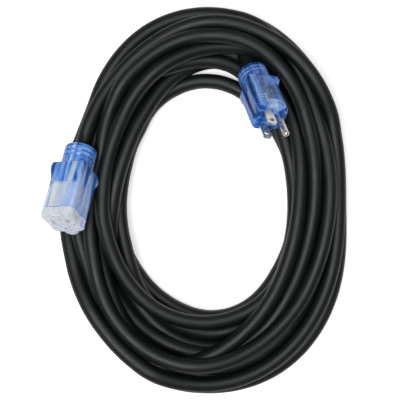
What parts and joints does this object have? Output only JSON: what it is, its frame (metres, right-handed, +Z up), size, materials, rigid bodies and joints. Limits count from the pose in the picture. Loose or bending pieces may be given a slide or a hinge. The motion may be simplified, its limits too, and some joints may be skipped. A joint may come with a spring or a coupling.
{
  "type": "shore power cord",
  "caption": "Oval coil of black rubber power cord with a translucent blue three-pin plug at one end and a matching clear-faced connector at the other, for hooking up a caravan.",
  "frame": {"origin": "middle of the whole part in plan, on the floor that it lies on", "axes": "+Y along the coil's longer way, +X along its shorter way, +Z up, out of the coil's plane"},
  "size_m": [0.237, 0.313, 0.0831],
  "materials": {
    "jacket_rubber": "satin black rubber, fine grain",
    "clear_blue": "translucent blue vinyl, glossy",
    "pale_blue": "paler translucent blue vinyl, glossy",
    "clear": "clear vinyl",
    "cream": "cream moulded plastic",
    "nickel": "nickel plated brass",
    "brass": "plain brass strip",
    "copper": "bare stranded copper",
    "filler": "twisted paper string",
    "black_insulation": "black vinyl",
    "white_insulation": "white vinyl",
    "green_insulation": "green vinyl",
    "lamp_glass": "clear glass bulb",
    "resistor": "tan lacquer"
  },
  "bodies": {
    "root": {"cord_coil": "jacket_rubber", "plug_lead": "jacket_rubber", "connector_lead": "jacket_rubber", "plug_overmould": "clear_blue", "plug_inner_mould": "clear", "plug_strain_relief": "clear", "blade_carrier": "cream", "line_blade": "nickel", "neutral_blade": "nickel", "earth_pin": "nickel", "plug_line_conductor": "black_insulation", "plug_neutral_conductor": "white_insulation", "plug_earth_conductor": "green_insulation", "plug_copper_ends": "copper", "plug_jacket_end": "jacket_rubber", "plug_fillers": "filler", "connector_overmould": "pale_blue", "connector_face_cap": "clear", "contact_carrier": "cream", "carrier_cover": "cream", "line_contact": "brass", "neutral_contact": "brass", "earth_contact": "brass", "connector_inner_mould": "clear", "connector_strain_relief": "clear", "connector_line_conductor": "black_insulation", "connector_neutral_conductor": "white_insulation", "connector_earth_conductor": "green_insulation", "connector_copper_ends": "copper", "connector_jacket_end": "jacket_rubber", "connector_fillers": "filler", "lamp_bulb": "lamp_glass", "lamp_electrodes": "nickel", "lamp_resistor": "resistor", "lamp_leads": "nickel"}
  },
  "joints": []
}
